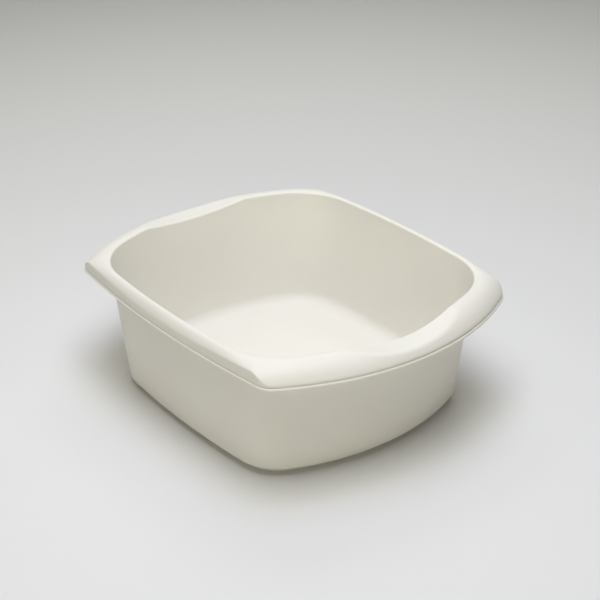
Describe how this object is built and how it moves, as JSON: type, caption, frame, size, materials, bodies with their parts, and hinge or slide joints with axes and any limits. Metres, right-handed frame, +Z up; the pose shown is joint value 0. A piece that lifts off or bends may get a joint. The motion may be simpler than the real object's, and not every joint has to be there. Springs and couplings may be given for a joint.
{
  "type": "washing up bowl",
  "caption": "Rectangular moulded plastic washing up bowl with bowed sides, a rolled rim, scooped handle flanges at both ends and a foot ring.",
  "frame": {"origin": "centre of the footprint, on the table that the foot ring stands on", "axes": "+X along the length towards one handle end, +Y across the width, +Z up out of the mouth"},
  "size_m": [0.395, 0.319, 0.1405],
  "materials": {
    "bowl": "satin"
  },
  "bodies": {
    "root": {"bowl": "bowl"}
  },
  "joints": []
}
